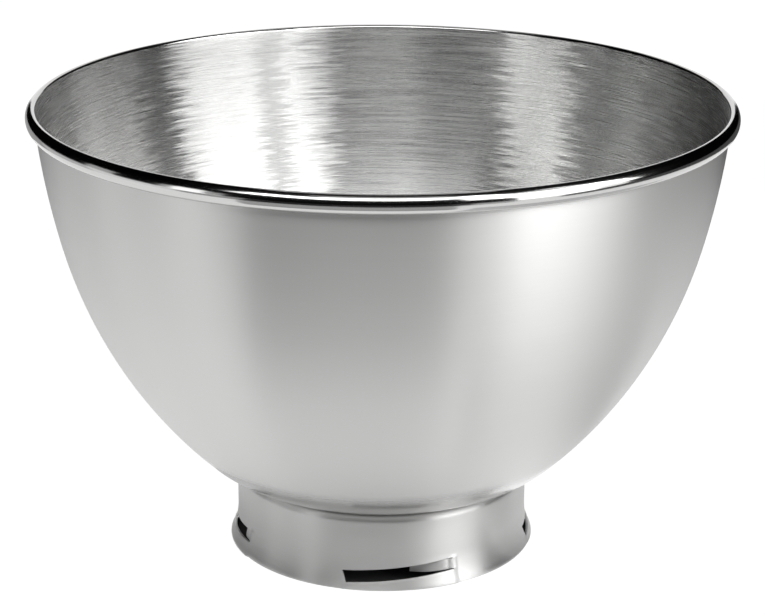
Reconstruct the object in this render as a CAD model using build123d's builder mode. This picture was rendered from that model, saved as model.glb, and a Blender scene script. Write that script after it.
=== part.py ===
from build123d import *
from math import acos, atan2, cos, degrees, radians, sin, sqrt, tan
import os

# A stainless mixing bowl for a stand mixer: one drawn sheet with a rolled rim, on a welded foot ring.
# Millimetres, +Z up, origin at the centre of the circle that the foot stands on, -Y is the front.
# In a section, a point is (distance from the axis, height). Angles round the foot count from the
# front towards the right.

# Overall sizes
rim_diameter = 224.0
bowl_height = 147.4
foot_diameter = 95.2
foot_height = 24.0

# Sheets
bowl_sheet = 0.8
foot_sheet = 0.9

# Wall of the bowl: an upper arc, a belly arc and a corner arc, each tangent to the next, on a flat floor.
# A lean is how far the wall is from upright, and the upper arc's radius is the ratio times the belly's.
rim_lean = 4.6
upper_wall_lean = 14.7
upper_wall_ratio = 1.63
floor_corner_radius = 32.0
floor_inset = 9.2

# Rolled rim: a tight bend over the top, then the open roll, which stops just short of the wall
rim_bend_radius = 1.0
rim_roll_radius = 3.2
rim_blend_angle = 65.0
rim_edge_gap = 0.3

# Foot ring: an upright wall with a flare to stand on and a flange welded flat under the floor
foot_flare_height = 10.4
foot_flare_radius = 24.5
foot_shoulder_radius = 2.2
weld_seat_width = 8.0

# Four twist-lock slots that rise to the right, each over a lip that is sprung a little outwards
lock_count = 4
slot_start_angle = -14.2
slot_end_angle = 28.5
slot_height = 3.7
slot_level = 5.05
slot_ramp_angle = 4.0
slot_end_slant = 1.5
slot_corner_radius = 0.4
lip_end_angle = 30.0
lip_offset_at_start = 0.1
lip_offset_at_end = 0.45

# Stop tongue at the high end of each slot, bent in from the wall
tongue_bend_radius = 16.0
tongue_sweep = 52.0
tongue_recess = 0.15
tongue_side_gap = 0.25
tongue_root = 1.5


def round_the_foot(distance, angle):
    """Point on the ground plane at a distance from the axis and an angle from the front."""
    return Vector(distance * sin(radians(angle)), -distance * cos(radians(angle)), 0)


def section_plane(axis_point, angle):
    """Upright plane through an axis, with its local x pointing out at an angle from the front."""
    return Plane(origin=axis_point, x_dir=round_the_foot(1, angle), z_dir=round_the_foot(1, angle - 90))


def outward(lean):
    """Direction square to a wall that leans out by an angle, from its centre to its outside face."""
    return Vector(cos(radians(lean)), -sin(radians(lean)))


# Centre of the bend and of the roll, worked in from the rim's diameter and height
blend_step = rim_roll_radius - rim_bend_radius
roll_centre_r = rim_diameter / 2 - rim_roll_radius
bend_centre_z = bowl_height - rim_bend_radius
bend_centre = Vector(roll_centre_r + blend_step * cos(radians(rim_blend_angle)), bend_centre_z)
roll_centre = Vector(roll_centre_r, bend_centre_z - blend_step * sin(radians(rim_blend_angle)))

# Top of the wall's outside face, and the corner arc on the flat floor over the foot
wall_top = bend_centre - (rim_bend_radius - bowl_sheet) * outward(rim_lean)
floor_radius = foot_diameter / 2 - floor_inset
corner_centre = Vector(floor_radius, foot_height + floor_corner_radius)

# The belly arc touches the corner arc. Its centre lies its own radius times this step from the wall's top.
step = upper_wall_ratio * outward(rim_lean) - (upper_wall_ratio - 1) * outward(upper_wall_lean)
reach = wall_top - corner_centre
slack = reach.dot(step) - floor_corner_radius
span = reach.dot(reach) - floor_corner_radius**2
belly_radius = span / (slack + sqrt(slack**2 - span * (step.dot(step) - 1)))
belly_centre = wall_top - belly_radius * step
upper_wall_radius = upper_wall_ratio * belly_radius
upper_centre = wall_top - upper_wall_radius * outward(rim_lean)
belly_lean = degrees(atan2(belly_centre.Y - corner_centre.Y, corner_centre.X - belly_centre.X))

# The roll's cut edge stops where its inside comes within the gap of the wall
roll_inside = rim_roll_radius - bowl_sheet
edge_drop = upper_centre.Y - (roll_centre.Y - roll_inside)
wall_at_edge = upper_centre.X + sqrt(upper_wall_radius**2 - edge_drop**2)
edge_angle = degrees(acos((wall_at_edge + rim_edge_gap - roll_centre_r) / roll_inside))


def bowl_face(offset):
    """One face of the bowl's sheet, from the axis to the roll's edge: offset 0 is the outside."""
    level = foot_height + offset
    rolled = offset - bowl_sheet
    floor = Line((0, level), (floor_radius, level))
    CenterArc(corner_centre, floor_corner_radius - offset, -90, 90 - belly_lean)
    CenterArc(belly_centre, belly_radius - offset, -belly_lean, belly_lean - upper_wall_lean)
    CenterArc(upper_centre, upper_wall_radius - offset, -upper_wall_lean, upper_wall_lean - rim_lean)
    CenterArc(bend_centre, rim_bend_radius + rolled, 180 - rim_lean, rim_blend_angle + rim_lean - 180)
    roll = CenterArc(roll_centre, rim_roll_radius + rolled, rim_blend_angle, -rim_blend_angle - edge_angle)
    return floor @ 0, roll @ 1


with BuildPart() as bowl_shell:
    with BuildSketch(Plane.XZ):
        with BuildLine():
            outside_start, outside_end = bowl_face(0)
            inside_start, inside_end = bowl_face(bowl_sheet)
            Line(outside_start, inside_start)
            Line(outside_end, inside_end)
        make_face()
    revolve(axis=Axis.Z)

foot_radius = foot_diameter / 2
flare_centre = (foot_radius + foot_flare_radius, foot_flare_height)
shoulder_centre = (foot_radius - foot_shoulder_radius, foot_height - foot_shoulder_radius)
flange_inner_radius = floor_radius - weld_seat_width


def flare_face(offset, shift):
    """One face of the flare, from the ground up: offset 0 is the outside, shift moves it inwards."""
    radius = foot_flare_radius + offset
    reach = degrees(atan2(foot_flare_height, sqrt(radius**2 - foot_flare_height**2)))
    return CenterArc((flare_centre[0] - shift, flare_centre[1]), radius, 180 + reach, -reach)


# Where a slot lies on the wall, seen square on from outside at its middle
slot_middle_angle = (slot_start_angle + slot_end_angle) / 2
slot_half_angle = (slot_end_angle - slot_start_angle) / 2
slot_face_radius = flare_centre[0] - sqrt(foot_flare_radius**2 - (foot_flare_height - slot_level) ** 2)
slot_half_length = slot_face_radius * sin(radians(slot_half_angle))
slot_rise = tan(radians(slot_ramp_angle))
slot_plane = Plane(
    origin=(0, 0, slot_level),
    x_dir=round_the_foot(1, slot_middle_angle + 90),
    z_dir=round_the_foot(1, slot_middle_angle),
)
cut_margin = 4 * foot_sheet
flare_outer_radius = flare_centre[0] - sqrt(foot_flare_radius**2 - foot_flare_height**2)
cut_from = foot_radius - cut_margin
cut_to = flare_outer_radius + cut_margin


def slot_outline(left, right, half_height, slant):
    """Sloping outline with upright right end and slanted left end, on the slot's plane."""
    Polyline(
        (left + slant / 2, left * slot_rise - half_height),
        (right, right * slot_rise - half_height),
        (right, right * slot_rise + half_height),
        (left - slant / 2, left * slot_rise + half_height),
        close=True,
    )


# Stretch of wall that a lip takes the place of: everything below the slot's upper edge
lip_turn = lip_end_angle - slot_start_angle
with BuildPart() as lip_zone:
    with BuildSketch():
        with BuildLine():
            zone_outer = CenterArc((0, 0), cut_to, slot_start_angle - 90, lip_turn)
            zone_inner = CenterArc((0, 0), cut_from, slot_start_angle - 90, lip_turn)
            Line(zone_outer @ 0, zone_inner @ 0)
            Line(zone_outer @ 1, zone_inner @ 1)
        make_face()
    extrude(amount=foot_flare_height)
    upper_edge_plane = Plane(
        origin=(0, 0, slot_level + slot_height / 2),
        x_dir=round_the_foot(1, slot_middle_angle),
        z_dir=round_the_foot(-slot_rise, slot_middle_angle + 90) + Vector(0, 0, 1),
    )
    split(bisect_by=upper_edge_plane, keep=Keep.BOTTOM)

# The lip keeps the flare's section, swung about an axis a little to one side of the foot's own,
# and starts and ends past its stretch of wall, which trims it
lip_overrun = 2
lip_side_step = (lip_offset_at_end - lip_offset_at_start * cos(radians(lip_turn))) / sin(radians(lip_turn))
lip_axis_point = round_the_foot(lip_offset_at_start, slot_start_angle)
lip_axis_point += round_the_foot(lip_side_step, slot_start_angle + 90)

with BuildPart() as lip:
    with BuildSketch(section_plane(lip_axis_point, slot_start_angle - lip_overrun)):
        with BuildLine():
            outer_flare = flare_face(0, 0)
            inner_flare = flare_face(foot_sheet, 0)
            Line(inner_flare @ 1, outer_flare @ 1)
            Line(inner_flare @ 0, outer_flare @ 0)
        make_face()
    revolve(axis=Axis(lip_axis_point, (0, 0, 1)), revolution_arc=lip_turn + 2 * lip_overrun)
    add(lip_zone.part, mode=Mode.INTERSECT)

with BuildPart() as slot_cut:
    with BuildSketch(slot_plane.offset(cut_from)) as slot_sketch:
        with BuildLine():
            slot_outline(-slot_half_length, slot_half_length, slot_height / 2, slot_end_slant)
        make_face()
        fillet(slot_sketch.vertices(), radius=slot_corner_radius)
    extrude(amount=cut_to - cut_from)

# The tongue keeps the flare's section too, swung inwards about an axis close behind the wall
tongue_axis_distance = slot_face_radius - tongue_bend_radius
tongue_axis_point = round_the_foot(tongue_axis_distance, slot_end_angle)
root_turn = degrees(tongue_root / tongue_bend_radius)
with BuildPart() as tongue:
    with BuildSketch(section_plane(tongue_axis_point, slot_end_angle - tongue_sweep)):
        with BuildLine():
            outer_flare = flare_face(0, tongue_axis_distance + tongue_recess)
            inner_flare = flare_face(foot_sheet, tongue_axis_distance + tongue_recess)
            Line(inner_flare @ 1, outer_flare @ 1)
            Line(inner_flare @ 0, outer_flare @ 0)
        make_face()
    revolve(axis=Axis(tongue_axis_point, (0, 0, 1)), revolution_arc=tongue_sweep + root_turn)
    with BuildSketch(slot_plane):
        with BuildLine():
            slot_outline(
                -slot_half_length,
                slot_half_length + tongue_root,
                slot_height / 2 - tongue_side_gap,
                0,
            )
        make_face()
    extrude(amount=cut_to, mode=Mode.INTERSECT)

with BuildPart() as foot_ring:
    with BuildSketch(Plane.XZ):
        with BuildLine():
            outer_flare = flare_face(0, 0)
            outer_shoulder = CenterArc(shoulder_centre, foot_shoulder_radius, 0, 90)
            Line(outer_flare @ 1, outer_shoulder @ 0)
            flange_top = Line(outer_shoulder @ 1, (flange_inner_radius, foot_height))
            flange_edge = Line(flange_top @ 1, (flange_inner_radius, foot_height - foot_sheet))
            inner_shoulder = CenterArc(shoulder_centre, foot_shoulder_radius - foot_sheet, 0, 90)
            Line(flange_edge @ 1, inner_shoulder @ 1)
            inner_flare = flare_face(foot_sheet, 0)
            Line(inner_flare @ 1, inner_shoulder @ 0)
            Line(inner_flare @ 0, outer_flare @ 0)
        make_face()
    revolve(axis=Axis.Z)
    with PolarLocations(0, lock_count):
        add(lip_zone.part, mode=Mode.SUBTRACT)
        add(lip.part)
        add(slot_cut.part, mode=Mode.SUBTRACT)
        add(tongue.part)

os.makedirs("parts", exist_ok=True)

bowl_shell.part.label = "bowl_shell"
export_step(bowl_shell.part, "parts/bowl_shell.step")

foot_ring.part.label = "foot_ring"
export_step(foot_ring.part, "parts/foot_ring.step")
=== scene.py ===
from math import acos, atan2, cos, degrees, hypot, radians, sin, sqrt, tan

import bmesh
import bpy
from mathutils import Matrix, Vector


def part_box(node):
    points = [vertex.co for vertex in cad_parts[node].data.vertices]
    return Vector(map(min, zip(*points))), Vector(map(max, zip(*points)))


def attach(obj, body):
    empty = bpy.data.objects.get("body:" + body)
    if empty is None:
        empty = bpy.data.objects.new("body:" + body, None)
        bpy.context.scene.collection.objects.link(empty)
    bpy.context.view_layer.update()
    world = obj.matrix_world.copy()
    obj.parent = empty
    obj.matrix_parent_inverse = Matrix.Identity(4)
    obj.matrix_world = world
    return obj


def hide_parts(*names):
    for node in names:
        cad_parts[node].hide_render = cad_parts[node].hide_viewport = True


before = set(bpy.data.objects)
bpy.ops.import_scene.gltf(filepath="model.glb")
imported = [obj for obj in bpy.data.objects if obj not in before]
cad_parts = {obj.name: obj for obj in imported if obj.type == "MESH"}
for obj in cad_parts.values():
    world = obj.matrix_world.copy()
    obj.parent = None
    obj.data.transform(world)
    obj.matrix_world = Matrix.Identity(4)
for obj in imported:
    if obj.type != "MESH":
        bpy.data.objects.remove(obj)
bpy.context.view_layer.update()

# A stainless mixing bowl: one drawn sheet with a rolled rim, spot-welded on a foot ring
# with four lock slots.
# Metres, +Z up, -Y is the front. Sizes named in millimetres are turned by MM.
MM = 0.001

bowl_low, bowl_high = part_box("bowl_shell")
foot_low, foot_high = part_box("foot_ring")

# Sizes read from the frame, in millimetres
RIM_RADIUS = (bowl_high.x - bowl_low.x) / 2 / MM
BOWL_TOP = bowl_high.z / MM
FLOOR_LEVEL = foot_high.z / MM

# Section of the bowl's sheet, in millimetres and degrees from upright
BOWL_SHEET = 0.8
FLOOR_RADIUS = 38.4
CORNER_RADIUS = 32.0
RIM_LEAN = 4.6
UPPER_LEAN = 14.7
UPPER_RATIO = 1.63
RIM_BEND = 1.0
RIM_ROLL = 3.2
RIM_BLEND = 65.0
RIM_EDGE_GAP = 0.3

# Section of the foot's sheet
FOOT_SHEET = 0.9
FOOT_RADIUS = 47.6
FLARE_HEIGHT = 10.4
FLARE_RADIUS = 24.5
SHOULDER_RADIUS = 2.2
FLANGE_INNER_RADIUS = 30.4

# Lock slots, with angles from the front towards the right
SLOT_COUNT = 4
SLOT_START = -14.2
SLOT_END = 28.5
SLOT_HEIGHT = 3.7
SLOT_LEVEL = 5.05
SLOT_RAMP = 4.0
SLOT_SLANT = 1.5
LIP_END = 30.0
LIP_OUT_START = 0.1
LIP_OUT_END = 0.45
TONGUE_BEND = 16.0
TONGUE_SWEEP = 52.0
TONGUE_RECESS = 0.15
TONGUE_GAP = 0.25

# How the slot's rise and slant fade out round it: a factor up the wall, degrees along it, and
# millimetres over it
RISE_SPREAD = 2.6
SLANT_REACH = 4
SLANT_FADE = 1.5

# Finish of the cut edges: break in millimetres, and the angle in degrees that counts as sharp
EDGE_BREAK = 0.1
SHARP_EDGE = 50

# Steps of the meshes
TURN_STEPS = 288
SLOT_STEPS = 45
WALL_STEPS = 50
PAPER_STEPS = 96
CARD_STEP_ANGLE = 3

# Rows of the foot's mesh, in millimetres: under the slot, off its middle, above it
ROWS_UNDER_SLOT = [0.8, 1.6, 2.4]
ROW_OFF_MIDDLE = 0.8
ROW_OVER_SLOT = 0.35
ROWS_ABOVE_SLOT = [8.2, 9.3]

# How near counts as the same place, in millimetres and degrees, and how near doubles are merged
NEAR_ENOUGH = 0.01
MERGE_DISTANCE = 0.001
QUARTER_MERGE_DISTANCE = 0.02
RIM_MARGIN = 0.2


def outward(lean):
    """Direction square to a wall that leans by an angle, as (out from the axis, up)."""
    return Vector((cos(radians(lean)), -sin(radians(lean))))


def new_piece(name, bm, materials):
    """Makes a mesh object from a bmesh in millimetres, smooth-shaded, in metres."""
    bmesh.ops.scale(bm, vec=(MM, MM, MM), verts=bm.verts)
    mesh = bpy.data.meshes.new(name)
    bm.to_mesh(mesh)
    bm.free()
    for material in materials:
        mesh.materials.append(material)
    piece = bpy.data.objects.new(name, mesh)
    bpy.context.scene.collection.objects.link(piece)
    for polygon in mesh.polygons:
        polygon.use_smooth = True
    return piece


def start_section(bm, at):
    """First vertex of a section drawn in the XZ plane."""
    return bm.verts.new((at[0], 0, at[1]))


def line_to(bm, vert, to, steps=1):
    """Straight stretch of a section in equal steps."""
    start = vert.co.copy()
    end = Vector((to[0], 0, to[1]))
    for step in range(1, steps + 1):
        following = bm.verts.new(start.lerp(end, step / steps))
        bm.edges.new((vert, following))
        vert = following
    return vert


def arc_round(bm, vert, centre, turn, steps):
    """Arc of a section round a centre, anticlockwise where the turn is positive."""
    made = bmesh.ops.spin(
        bm, geom=[vert], cent=(centre[0], 0, centre[1]), axis=(0, -1, 0), angle=radians(turn), steps=steps
    )
    return next(item for item in made["geom_last"] if isinstance(item, bmesh.types.BMVert))


def spin_round(bm, turn, steps, merge):
    """Spins everything drawn so far about the upright axis."""
    geometry = bm.verts[:] + bm.edges[:]
    made = bmesh.ops.spin(
        bm, geom=geometry, cent=(0, 0, 0), axis=(0, 0, 1), angle=radians(turn), steps=steps, use_merge=merge
    )
    return made["geom_last"]


# Arcs of the bowl's section, worked out as tangent arcs from the rim to the floor
blend_step = RIM_ROLL - RIM_BEND
bend_centre = Vector((RIM_RADIUS - RIM_ROLL + blend_step * cos(radians(RIM_BLEND)), BOWL_TOP - RIM_BEND))
roll_centre = Vector((RIM_RADIUS - RIM_ROLL, bend_centre.y - blend_step * sin(radians(RIM_BLEND))))
wall_top = bend_centre - (RIM_BEND - BOWL_SHEET) * outward(RIM_LEAN)
corner_centre = Vector((FLOOR_RADIUS, FLOOR_LEVEL + CORNER_RADIUS))
arc_step = UPPER_RATIO * outward(RIM_LEAN) - (UPPER_RATIO - 1) * outward(UPPER_LEAN)
reach = wall_top - corner_centre
slack = reach.dot(arc_step) - CORNER_RADIUS
span = reach.dot(reach) - CORNER_RADIUS**2
belly_radius = span / (slack + sqrt(slack**2 - span * (arc_step.dot(arc_step) - 1)))
belly_centre = wall_top - belly_radius * arc_step
upper_radius = UPPER_RATIO * belly_radius
upper_centre = wall_top - upper_radius * outward(RIM_LEAN)
belly_lean = degrees(atan2(belly_centre.y - corner_centre.y, corner_centre.x - belly_centre.x))
roll_inside = RIM_ROLL - BOWL_SHEET
edge_drop = upper_centre.y - (roll_centre.y - roll_inside)
wall_at_edge = upper_centre.x + sqrt(upper_radius**2 - edge_drop**2)
edge_angle = degrees(acos((wall_at_edge + RIM_EDGE_GAP - roll_centre.x) / roll_inside))

# Places of the bowl's three finishes in its material list
INSIDE_SLOT = 0
OUTSIDE_SLOT = 1
RIM_SLOT = 2

# Turn and steps of each arc of the section, from the floor to the roll's edge
BOWL_ARCS = [
    (corner_centre, 90 - belly_lean, 18),
    (belly_centre, belly_lean - UPPER_LEAN, 26),
    (upper_centre, UPPER_LEAN - RIM_LEAN, 14),
    (bend_centre, RIM_BLEND + RIM_LEAN - 180, 10),
    (roll_centre, -RIM_BLEND - edge_angle, 22),
]


def bowl_mesh():
    """The bowl's sheet: its closed section, spun once round."""
    bm = bmesh.new()
    first = start_section(bm, (0, FLOOR_LEVEL + BOWL_SHEET))
    vert = line_to(bm, first, (FLOOR_RADIUS, FLOOR_LEVEL + BOWL_SHEET), 10)
    for centre, turn, steps in BOWL_ARCS:
        vert = arc_round(bm, vert, centre, turn, steps)
    cut = (vert.co - Vector((roll_centre.x, 0, roll_centre.y))).normalized() * BOWL_SHEET
    vert = line_to(bm, vert, ((vert.co - cut).x, (vert.co - cut).z), 2)
    for centre, turn, steps in reversed(BOWL_ARCS):
        vert = arc_round(bm, vert, centre, -turn, steps)
    line_to(bm, vert, (0, FLOOR_LEVEL), 10)
    spin_round(bm, 360, TURN_STEPS, True)
    bmesh.ops.remove_doubles(bm, verts=bm.verts, dist=MERGE_DISTANCE)
    bmesh.ops.recalc_face_normals(bm, faces=bm.faces)
    for face in bm.faces:
        at = face.calc_center_median()
        if at.z > wall_top.y or hypot(at.x, at.y) > bend_centre.x - RIM_MARGIN:
            face.material_index = RIM_SLOT
        elif face.normal.z > 0:
            face.material_index = INSIDE_SLOT
        else:
            face.material_index = OUTSIDE_SLOT
    return bm


def flare_radius(height):
    """Distance of the foot's outside face from the axis at a height."""
    below = FLARE_HEIGHT - min(height, FLARE_HEIGHT)
    return FOOT_RADIUS + FLARE_RADIUS - sqrt(FLARE_RADIUS**2 - below**2)


slot_low = SLOT_LEVEL - SLOT_HEIGHT / 2
slot_high = SLOT_LEVEL + SLOT_HEIGHT / 2
slot_middle = (SLOT_START + SLOT_END) / 2
slot_radius = flare_radius(SLOT_LEVEL)
slot_half_length = slot_radius * sin(radians((SLOT_END - SLOT_START) / 2))
quarter = 360 / SLOT_COUNT


def smooth(value):
    """Eases a share from 0 to 1."""
    value = min(max(value, 0.0), 1.0)
    return value * value * (3 - 2 * value)


def slot_rise(angle):
    """How far the slot's edges have risen at an angle. Between two slots they ease back down."""
    full = slot_half_length * tan(radians(SLOT_RAMP))
    if SLOT_START <= angle <= LIP_END:
        return slot_radius * sin(radians(angle - slot_middle)) * tan(radians(SLOT_RAMP))
    rest = (angle - LIP_END) / (SLOT_START + quarter - LIP_END)
    return full * (1 - 2 * smooth(rest))


def place(vert, distance, angle, height):
    """Moves a vertex to a distance from the axis, an angle from the front and a height."""
    vert.co = (distance * sin(radians(angle)), -distance * cos(radians(angle)), height)


def foot_mesh():
    """The foot ring's sheet: a quarter with its slot, lip and tongue, repeated round the axis."""
    levels = [0] + ROWS_UNDER_SLOT + [slot_low, slot_low + TONGUE_GAP]
    levels += [SLOT_LEVEL - ROW_OFF_MIDDLE, SLOT_LEVEL + ROW_OFF_MIDDLE]
    levels += [slot_high - TONGUE_GAP, slot_high, slot_high + ROW_OVER_SLOT]
    levels += ROWS_ABOVE_SLOT + [FLARE_HEIGHT]
    bm = bmesh.new()
    vert = start_section(bm, (flare_radius(0), 0))
    for height in levels[1:]:
        vert = line_to(bm, vert, (flare_radius(height), height))
    vert = line_to(bm, vert, (FOOT_RADIUS, FLOOR_LEVEL - SHOULDER_RADIUS), 8)
    shoulder = (FOOT_RADIUS - SHOULDER_RADIUS, FLOOR_LEVEL - SHOULDER_RADIUS)
    vert = arc_round(bm, vert, shoulder, 90, 10)
    line_to(bm, vert, (FLANGE_INNER_RADIUS, FLOOR_LEVEL), 6)
    to_slot_start = Matrix.Rotation(radians(SLOT_START - 90), 3, "Z")
    bmesh.ops.rotate(bm, verts=bm.verts, cent=(0, 0, 0), matrix=to_slot_start)
    turn = LIP_END - SLOT_START
    last = spin_round(bm, turn, SLOT_STEPS, False)
    bmesh.ops.spin(
        bm, geom=last, cent=(0, 0, 0), axis=(0, 0, 1), angle=radians(quarter - turn), steps=WALL_STEPS
    )
    column = turn / SLOT_STEPS
    tongue_length = TONGUE_BEND * radians(TONGUE_SWEEP)
    tongue_turn = degrees(tongue_length / slot_radius)
    flare = [v for v in bm.verts if v.co.z < FLARE_HEIGHT + NEAR_ENOUGH]
    spots = {}
    for v in flare:
        angle = degrees(atan2(v.co.x, -v.co.y))
        if angle < SLOT_START - NEAR_ENOUGH:
            angle += 360
        spots[v] = (max(angle, SLOT_START), v.co.z)

    def in_slot(face):
        found = [spots.get(v) for v in face.verts]
        if None in found:
            return False
        inside = all(SLOT_START - NEAR_ENOUGH < a < SLOT_END + NEAR_ENOUGH for a, z in found)
        return inside and all(slot_low - NEAR_ENOUGH < z < slot_high + NEAR_ENOUGH for a, z in found)

    # The last column of the slot is moved to its end, and the faces in it are cut out or bent
    for v, (angle, height) in list(spots.items()):
        if SLOT_END - column / 2 < angle < LIP_END - column / 2 + MERGE_DISTANCE:
            spots[v] = (SLOT_END, height)
    cut = []
    tongue = []
    for face in bm.faces:
        if not in_slot(face):
            continue
        angles = [spots[v][0] for v in face.verts]
        heights = [spots[v][1] for v in face.verts]
        within = min(heights) > slot_low + NEAR_ENOUGH and max(heights) < slot_high - NEAR_ENOUGH
        if within and min(angles) > SLOT_END - tongue_turn - column / 2:
            tongue.append(face)
        else:
            cut.append(face)
    tongue_verts = {v for face in tongue for v in face.verts}
    bmesh.ops.delete(bm, geom=cut, context="FACES")
    axis_distance = slot_radius - TONGUE_BEND
    for v, (angle, height) in spots.items():
        if not v.is_valid:
            continue
        extra = 0
        if angle > SLOT_START + quarter - NEAR_ENOUGH:
            angle = SLOT_START
            extra = quarter
        off_middle = abs(height - SLOT_LEVEL)
        level = height + smooth((1 - off_middle / SLOT_LEVEL) * RISE_SPREAD) * slot_rise(angle)
        if v in tongue_verts and angle < SLOT_END - column / 2:
            bend = radians(SLOT_END - (SLOT_END - angle) / tongue_turn * TONGUE_SWEEP)
            distance = flare_radius(level) - axis_distance - TONGUE_RECESS
            base = radians(SLOT_END)
            v.co = (
                axis_distance * sin(base) + distance * sin(bend),
                -axis_distance * cos(base) - distance * cos(bend),
                level,
            )
            continue
        from_start = min(abs(angle - SLOT_START), SLOT_START + quarter - angle)
        slant = SLOT_SLANT * (SLOT_LEVEL - height) / SLOT_HEIGHT * smooth(1 - from_start / SLANT_REACH)
        slant *= smooth(1 - (off_middle - SLOT_HEIGHT / 2) / SLANT_FADE)
        out = 0
        if angle < LIP_END - NEAR_ENOUGH:
            at_slot_end = angle > SLOT_END - NEAR_ENOUGH and height < slot_high + NEAR_ENOUGH
            on_lip = height < slot_low + NEAR_ENOUGH or at_slot_end
            share = (angle - SLOT_START) / (LIP_END - SLOT_START)
            out = (LIP_OUT_START + share * (LIP_OUT_END - LIP_OUT_START)) * on_lip
        place(v, flare_radius(level) + out, angle + extra + degrees(slant / slot_radius), level)
    bmesh.ops.remove_doubles(bm, verts=bm.verts, dist=MERGE_DISTANCE)
    one = bm.verts[:] + bm.edges[:] + bm.faces[:]
    for turn_number in range(1, SLOT_COUNT):
        copy = bmesh.ops.duplicate(bm, geom=one)["geom"]
        verts = [item for item in copy if isinstance(item, bmesh.types.BMVert)]
        turned = Matrix.Rotation(radians(quarter * turn_number), 3, "Z")
        bmesh.ops.rotate(bm, verts=verts, cent=(0, 0, 0), matrix=turned)
    bmesh.ops.remove_doubles(bm, verts=bm.verts, dist=QUARTER_MERGE_DISTANCE)
    bmesh.ops.recalc_face_normals(bm, faces=bm.faces)
    probe = max(bm.faces, key=lambda face: face.calc_center_median().z)
    if probe.normal.z < 0:
        bmesh.ops.reverse_faces(bm, faces=bm.faces)
    return bm


def linear(hexa):
    """sRGB hex colour as linear values."""
    parts = [int(hexa[i:i + 2], 16) / 255 for i in (1, 3, 5)]
    return tuple(c / 12.92 if c <= 0.04045 else ((c + 0.055) / 1.055) ** 2.4 for c in parts) + (1.0,)


def add_node(tree, kind, settings=(), **links):
    """Adds a node with its settings. A link is a socket's name, or i and its number, and its value."""
    node = tree.nodes.new(kind)
    for name, value in dict(settings).items():
        setattr(node, name, value)
    for key, value in links.items():
        by_number = key[0] == "i" and key[1:].isdigit()
        socket = node.inputs[int(key[1:]) if by_number else key.replace("_", " ")]
        if isinstance(value, bpy.types.NodeSocket):
            tree.links.new(value, socket)
        else:
            socket.default_value = value
    return node


def new_material(name):
    """A material with an empty node tree, and its output."""
    material = bpy.data.materials.new(name)
    material.use_nodes = True
    tree = material.node_tree
    tree.nodes.clear()
    return material, tree, tree.nodes.new("ShaderNodeOutputMaterial")


def round_lines(tree, length, pitch, detail):
    """Noise drawn out round the axis: lines with a length and a pitch in millimetres."""
    where = add_node(tree, "ShaderNodeTexCoord").outputs["Object"]
    flat = add_node(tree, "ShaderNodeVectorMath", {"operation": "MULTIPLY"}, i0=where, i1=(1, 1, 0))
    out = add_node(tree, "ShaderNodeVectorMath", {"operation": "LENGTH"}, i0=flat.outputs[0])
    apart = add_node(tree, "ShaderNodeSeparateXYZ", i0=where)
    along = add_node(
        tree, "ShaderNodeMath", {"operation": "ADD"}, i0=apart.outputs["Z"], i1=out.outputs["Value"]
    )
    joined = add_node(
        tree, "ShaderNodeCombineXYZ", i0=apart.outputs["X"], i1=apart.outputs["Y"], i2=along.outputs[0]
    )
    per_length = 1 / (length * MM)
    stretched = add_node(
        tree, "ShaderNodeVectorMath", {"operation": "MULTIPLY"},
        i0=joined.outputs[0], i1=(per_length, per_length, 1 / (pitch * MM)),
    )
    return add_node(
        tree, "ShaderNodeTexNoise", {"noise_dimensions": "3D"},
        Vector=stretched.outputs[0], Scale=1.0, Detail=detail, Roughness=0.6,
    ).outputs["Fac"]


# Range of the noise that the brush lines use, how the fine lines differ from the others, and the turn,
# as a share of a full one, that spreads reflections across the lines
NOISE_LOW = 0.3
NOISE_HIGH = 0.7
SWAY_NOISE_LOW = 0.25
SWAY_NOISE_HIGH = 0.75
FINE_LENGTH = 2.5
FINE_PITCH = 0.5
ACROSS_LINES = 0.25


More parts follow.
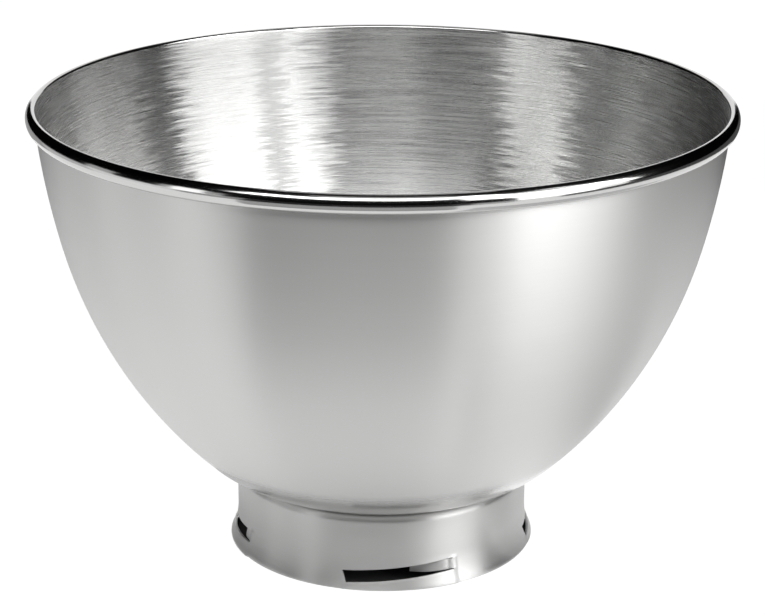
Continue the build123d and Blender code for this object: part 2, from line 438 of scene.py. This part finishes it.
def steel(name, colour, roughness, spread, anisotropy, length, pitch, sway, shade, smoother=None):
    """Stainless steel brushed round its axis.

    Length and pitch of the brush lines are in millimetres. Spread varies the roughness from line to
    line, sway turns the lines' reflections sideways, and shade darkens some of them. Smoother gives two
    heights in millimetres and a share: the roughness falls to that share from the first height to the
    second.
    """
    material, tree, output = new_material(name)
    lines = round_lines(tree, length, pitch, 2.0)
    fine_lines = round_lines(tree, FINE_LENGTH * length, FINE_PITCH * pitch, 3.0)
    rough = add_node(
        tree, "ShaderNodeMapRange", Value=fine_lines,
        From_Min=NOISE_LOW, From_Max=NOISE_HIGH, To_Min=roughness - spread, To_Max=roughness + spread,
    )
    rough = rough.outputs[0]
    if smoother:
        where = add_node(tree, "ShaderNodeTexCoord").outputs["Object"]
        height = add_node(tree, "ShaderNodeSeparateXYZ", i0=where).outputs["Z"]
        fall = add_node(
            tree, "ShaderNodeMapRange", {"interpolation_type": "SMOOTHSTEP"}, Value=height,
            From_Min=smoother[1] * MM, From_Max=smoother[0] * MM, To_Min=smoother[2], To_Max=1.0,
        )
        fallen = add_node(tree, "ShaderNodeMath", {"operation": "MULTIPLY"}, i0=rough, i1=fall.outputs[0])
        rough = fallen.outputs[0]
    tone = add_node(
        tree, "ShaderNodeMapRange", Value=fine_lines,
        From_Min=NOISE_LOW, From_Max=NOISE_HIGH, To_Min=1 - shade, To_Max=1.0,
    )
    tinted = add_node(
        tree, "ShaderNodeVectorMath", {"operation": "SCALE"}, i0=linear(colour)[:3], Scale=tone.outputs[0]
    )
    tangent = add_node(tree, "ShaderNodeTangent", {"direction_type": "RADIAL", "axis": "Z"})
    turned = add_node(
        tree, "ShaderNodeMapRange", Value=lines,
        From_Min=SWAY_NOISE_LOW, From_Max=SWAY_NOISE_HIGH, To_Min=-sway, To_Max=sway,
    )
    sideways = add_node(
        tree, "ShaderNodeVectorMath", {"operation": "SCALE"}, i0=tangent.outputs[0], Scale=turned.outputs[0]
    )
    surface = add_node(tree, "ShaderNodeNewGeometry")
    swayed = add_node(
        tree, "ShaderNodeVectorMath", {"operation": "ADD"},
        i0=surface.outputs["Normal"], i1=sideways.outputs[0],
    )
    normal = add_node(tree, "ShaderNodeVectorMath", {"operation": "NORMALIZE"}, i0=swayed.outputs[0])
    shader = add_node(
        tree, "ShaderNodeBsdfPrincipled", Base_Color=tinted.outputs[0], Metallic=1.0,
        Roughness=rough, Anisotropic=anisotropy, Anisotropic_Rotation=ACROSS_LINES,
        Tangent=tangent.outputs[0], Normal=normal.outputs[0],
    )
    tree.links.new(shader.outputs[0], output.inputs["Surface"])
    return material


# Real brush lines are about 0.1 mm apart, and a pixel of the render is about 0.3 mm, so the pitches below
# draw them coarser than they are.

# The inside is brushed as the bowl turns: long fine lines, which pull each reflection into an upright
# streak with ragged sides.
inside_steel = steel("brushed_inside_stainless", "#d6d6d5", 0.26, 0.05, 1.0, 12, 0.9, 0.05, 0.13)

# The outside is satin-finished: its lines hardly show, and reflections turn into soft broad shades. Near
# the foot it is drawn smoother, so that it mirrors the foot as a darker band.
SMOOTHER_FROM = FLOOR_LEVEL + 17
SMOOTHER_TO = FLOOR_LEVEL + 9
outside_steel = steel(
    "satin_outside_stainless", "#dcdcdb", 0.44, 0.02, 0.85, 30, 0.8, 0.006, 0.02,
    (SMOOTHER_FROM, SMOOTHER_TO, 0.3),
)

# The rolled rim is polished: it shows its surroundings sharply, as thin black and white lines.
rim_steel = steel("polished_rim_stainless", "#cacac9", 0.13, 0.0, 0.5, 30, 0.8, 0.0, 0.0)

# The foot is pressed and satin-finished, a little greyer and less rough than the bowl's outside.
foot_steel = steel("satin_foot_stainless", "#d3d3d2", 0.42, 0.02, 0.9, 30, 0.8, 0.004, 0.02)

bowl = new_piece("bowl", bowl_mesh(), [inside_steel, outside_steel, rim_steel])
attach(bowl, "root")
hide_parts("bowl_shell")


def thicken(piece, thickness, bevel):
    """Gives an open sheet its thickness inwards, cuts its base flat and breaks its cut edges."""
    solid = piece.modifiers.new("sheet", "SOLIDIFY")
    solid.thickness = thickness
    solid.offset = -1
    solid.use_quality_normals = True
    graph = bpy.context.evaluated_depsgraph_get()
    mesh = bpy.data.meshes.new_from_object(piece.evaluated_get(graph))
    piece.modifiers.clear()
    piece.data = mesh
    bm = bmesh.new()
    bm.from_mesh(mesh)
    everything = bm.verts[:] + bm.edges[:] + bm.faces[:]
    bmesh.ops.bisect_plane(
        bm, geom=everything, dist=1e-6, plane_co=(0, 0, 0), plane_no=(0, 0, 1), clear_inner=True
    )
    bmesh.ops.bridge_loops(bm, edges=[edge for edge in bm.edges if edge.is_boundary])
    bmesh.ops.recalc_face_normals(bm, faces=bm.faces)
    inner = [edge for edge in bm.edges if len(edge.link_faces) == 2]
    sharp = [edge for edge in inner if edge.calc_face_angle() > radians(SHARP_EDGE)]
    bmesh.ops.bevel(
        bm, geom=sharp, offset=bevel, segments=2, profile=0.5,
        affect="EDGES", material=-1, clamp_overlap=True,
    )
    for face in bm.faces:
        face.smooth = True
    bm.to_mesh(mesh)
    bm.free()


foot = new_piece("foot", foot_mesh(), [foot_steel])
thicken(foot, FOOT_SHEET * MM, EDGE_BREAK * MM)
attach(foot, "root")
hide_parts("foot_ring")


def glow(name, level):
    """Light-giving sheer cloth: a lamp's light passes through it from both sides."""
    material, tree, output = new_material(name)
    light = add_node(tree, "ShaderNodeEmission", Color=(1, 1, 1, 1), Strength=level)
    sheer = add_node(tree, "ShaderNodeBsdfTransparent")
    both = add_node(tree, "ShaderNodeAddShader", i0=light.outputs[0], i1=sheer.outputs[0])
    tree.links.new(both.outputs[0], output.inputs["Surface"])
    return material


def stage_sheet(name, bm, material, seen=False):
    """Puts a sheet of the studio in place, out of the camera's sight unless it is to be seen."""
    mesh = bpy.data.meshes.new(name)
    bm.to_mesh(mesh)
    bm.free()
    mesh.materials.append(material)
    made = bpy.data.objects.new(name, mesh)
    bpy.context.scene.collection.objects.link(made)
    made.visible_camera = seen


def swept_sheet(from_angle, to_angle, start, end):
    """Sheet swept round the object between two angles from the front towards the right, in metres.

    Start and end are its two edges as (distance from the axis, height).
    """
    bm = bmesh.new()
    edge = [bm.verts.new((0, -distance, height)) for distance, height in (start, end)]
    bm.edges.new(edge)
    turned = Matrix.Rotation(radians(from_angle), 3, "Z")
    bmesh.ops.rotate(bm, verts=bm.verts, cent=(0, 0, 0), matrix=turned)
    turn = to_angle - from_angle
    spin_round(bm, turn, max(2, int(turn / CARD_STEP_ANGLE)), False)
    return bm


def swept_card(name, from_angle, to_angle, start, end, level):
    """Light-giving card swept round the object."""
    stage_sheet(name, swept_sheet(from_angle, to_angle, start, end), glow(name, level))


def roof_card(name, half_width, from_y, to_y, height, level):
    """Level card over the object, in metres."""
    bm = bmesh.new()
    corners = ((-half_width, from_y), (half_width, from_y), (half_width, to_y), (-half_width, to_y))
    bm.faces.new([bm.verts.new((x, y, height)) for x, y in corners])
    stage_sheet(name, bm, glow(name, level))


# Studio: distances of the cards from the axis, their heights, and the cloth round it, in metres
INNER = 0.33
NEAR = 0.45
FAR = 1.7
STUDIO_RADIUS = 2.6
STUDIO_HEIGHT = 2.2
ROOF_HALF_WIDTH = 0.2
ROOF_LEVEL = 0.9

# Studio cards swept round the object: name, two angles, two edges as (distance, height), light level
SWEPT_CARDS = [
    ("key_near", 36, 48, (NEAR, 0.10), (NEAR, 0.45), 2.5),
    ("key_near_wide", 48, 60, (NEAR, 0.10), (NEAR, 0.45), 1.5),
    ("key_near_top", 48, 60, (NEAR, 0.45), (NEAR, 0.70), 1.3),
    ("key_feather", 22, 30, (INNER, 0.24), (INNER, 0.66), 2.4),
    ("key_edge", 30, 42, (INNER, 0.24), (INNER, 0.66), 5.2),
    ("key_far_base", 54, 78, (FAR, 0.0), (FAR, 0.45), 1.4),
    ("key_far_low", 48, 84, (FAR, 0.45), (FAR, 1.0), 3.0),
    ("key_far", 48, 60, (FAR, 1.0), (FAR, 1.7), 3.6),
    ("key_far_wide", 60, 84, (FAR, 1.0), (FAR, 1.7), 6.2),
    ("key_far_top", 72, 84, (1.2, 1.2), (1.0, 1.73), 1.5),
    ("front_top_far", -52, 24, (1.4, 1.4), (1.0, 1.73), 2.6),
    ("front_top_left", -50, -8, (NEAR, 0.45), (NEAR, 0.70), 2.2),
    ("front_top_right", -8, 24, (NEAR, 0.45), (NEAR, 0.70), 1.2),
    ("right_low", 24, 36, (NEAR, 0.0), (NEAR, 0.10), 0.45),
    ("right_low_key", 36, 50, (NEAR, 0.0), (NEAR, 0.10), 1.0),
    ("strip_left", -59, -49, (NEAR, 0.10), (NEAR, 0.28), 1.3),
    ("strip_left_wide", -63, -43, (NEAR, 0.10), (NEAR, 0.25), 0.45),
    ("left_wide", -92, -80, (NEAR, 0.10), (NEAR, 0.25), 0.5),
    ("left_low", -92, -58, (NEAR, 0.0), (NEAR, 0.10), 0.55),
    ("left_low_end", -120, -92, (NEAR, 0.0), (NEAR, 0.10), 0.25),
]
for name, from_angle, to_angle, start, end, level in SWEPT_CARDS:
    swept_card(name, from_angle, to_angle, start, end, level)
roof_card("roof_front", ROOF_HALF_WIDTH, -0.8, -0.4, ROOF_LEVEL, 2.0)
roof_card("roof_middle", ROOF_HALF_WIDTH, -0.4, -0.2, ROOF_LEVEL, 0.5)
roof_card("roof_back", ROOF_HALF_WIDTH, 0.2, 0.5, ROOF_LEVEL, 0.8)


def seen_white(tree, level):
    """Strength for the camera and for what metal and glass show, which puts no light on matt things."""
    rays = add_node(tree, "ShaderNodeLightPath")
    seen = rays.outputs["Is Camera Ray"]
    for kind in ("Is Glossy Ray", "Is Transmission Ray"):
        both = add_node(
            tree, "ShaderNodeMath", {"operation": "ADD", "use_clamp": True}, i0=seen, i1=rays.outputs[kind]
        )
        seen = both.outputs[0]
    return add_node(tree, "ShaderNodeMath", {"operation": "MULTIPLY"}, i0=seen, i1=level).outputs[0]


def paper(name, own_light):
    """Matt paper. Its own colour is grey, and light of its own, for what sees it, makes it white."""
    material, tree, output = new_material(name)
    matt = add_node(tree, "ShaderNodeBsdfDiffuse", Color=linear("#585858"))
    light = add_node(tree, "ShaderNodeEmission", Color=(1, 1, 1, 1), Strength=seen_white(tree, own_light))
    both = add_node(tree, "ShaderNodeAddShader", i0=matt.outputs[0], i1=light.outputs[0])
    tree.links.new(both.outputs[0], output.inputs["Surface"])
    return material


def black_cloth():
    """Black studio cloth, which keeps the white background off the metal's front and sides."""
    material, tree, output = new_material("black_cloth")
    matt = add_node(tree, "ShaderNodeBsdfDiffuse", Color=linear("#101010"))
    tree.links.new(matt.outputs[0], output.inputs["Surface"])
    return material


def paper_ring(name, inner, outer, material):
    """Flat ring of paper that the object stands on, in metres."""
    bm = bmesh.new()
    bm.edges.new([bm.verts.new((0, -distance, 0)) for distance in (inner, outer)])
    spin_round(bm, 360, PAPER_STEPS, True)
    stage_sheet(name, bm, material, seen=True)


def sheer_cloth(name, share):
    """Grey gauze that lets a share of the light through."""
    material, tree, output = new_material(name)
    gauze = add_node(tree, "ShaderNodeBsdfTransparent", Color=(share, share, share, 1))
    tree.links.new(gauze.outputs[0], output.inputs["Surface"])
    return material


# The paper under the foot gets no light, so only the ring outside it has light of its own. The two rings
# meet under the foot's base, and the inner one has a hole of a millimetre at the axis.
UNDER_FOOT = 1.2 * MM
paper_edge = (foot_high.x - foot_low.x) / 2 - UNDER_FOOT
paper_ring("paper_floor", paper_edge, STUDIO_RADIUS, paper("white_paper", 1.0))
paper_ring("paper_under_foot", MM, paper_edge, paper("shaded_paper", 0.0))

# Gauze over the paper, which tones down what the metal shows of it: two angles, two distances, and the
# share let through
GAUZE_HEIGHT = 0.3 * MM
GAUZES = [
    # The first two rings, next to the foot, are painted shadow. Their darker gauze stands in for the bowl's
    # shade on the paper round its foot, which the paper's own light doesn't have, and only the metal shows
    # it.
    ("painted_shadow_at_foot", -210, 60, 0.0502, 0.07, 0.56),
    ("painted_shadow_by_foot", -210, 60, 0.07, 0.10, 0.9),
    ("gauze_front", -40, 20, 0.18, NEAR, 0.46),
    ("gauze_right", 25, 100, 0.10, 0.22, 0.66),
    ("gauze_front_far", -40, 20, NEAR, STUDIO_RADIUS, 0.03),
    ("gauze_right_far", 20, 160, NEAR, STUDIO_RADIUS, 0.08),
    ("gauze_left_far", 200, 320, NEAR, STUDIO_RADIUS, 0.4),
]
for name, from_angle, to_angle, inner, outer, share in GAUZES:
    gauze_sheet = swept_sheet(from_angle, to_angle, (inner, GAUZE_HEIGHT), (outer, GAUZE_HEIGHT))
    stage_sheet(name, gauze_sheet, sheer_cloth(name, share))

# The black cloth leaves the background behind the object open, up to an angle from the front
CLOTH_END = 160
cloth = black_cloth()
wall_foot = (STUDIO_RADIUS, 0.0)
wall_head = (STUDIO_RADIUS, STUDIO_HEIGHT)
stage_sheet("black_wall", swept_sheet(-CLOTH_END, CLOTH_END, wall_foot, wall_head), cloth)
stage_sheet("black_roof", swept_sheet(0, 360, (0.0, STUDIO_HEIGHT), wall_head), cloth)

world = bpy.data.worlds.new("white_studio")
bpy.context.scene.world = world
world.use_nodes = True
world.node_tree.nodes.clear()
world_output = add_node(world.node_tree, "ShaderNodeOutputWorld")
sky_strength = seen_white(world.node_tree, 1.0)
sky = add_node(world.node_tree, "ShaderNodeBackground", Color=(1, 1, 1, 1), Strength=sky_strength)
world.node_tree.links.new(sky.outputs[0], world_output.inputs["Surface"])

# The camera, fitted to the outline in the photograph's 765 x 616 frame: its focal length in pixels of that
# frame, its place in metres and its angles in degrees
IMAGE_WIDTH = 765
SENSOR_WIDTH = 36
FOCAL_PIXELS = 2389.9
CAMERA_BACK = 0.7351
CAMERA_UP = 0.3277
CAMERA_PITCH = 18.81
CAMERA_ROLL = 0.22
CAMERA_RIGHT = 0.00013
camera_data = bpy.data.cameras.new("camera")
camera_data.sensor_fit = "HORIZONTAL"
camera_data.sensor_width = SENSOR_WIDTH
camera_data.lens = FOCAL_PIXELS * SENSOR_WIDTH / IMAGE_WIDTH
camera = bpy.data.objects.new("camera", camera_data)
bpy.context.scene.collection.objects.link(camera)
camera.matrix_world = (
    Matrix.Translation((CAMERA_RIGHT, -CAMERA_BACK, CAMERA_UP))
    @ Matrix.Rotation(radians(90 - CAMERA_PITCH), 4, "X")
    @ Matrix.Rotation(radians(CAMERA_ROLL), 4, "Z")
)
bpy.context.scene.camera = camera
bpy.context.scene.view_settings.view_transform = "Standard"
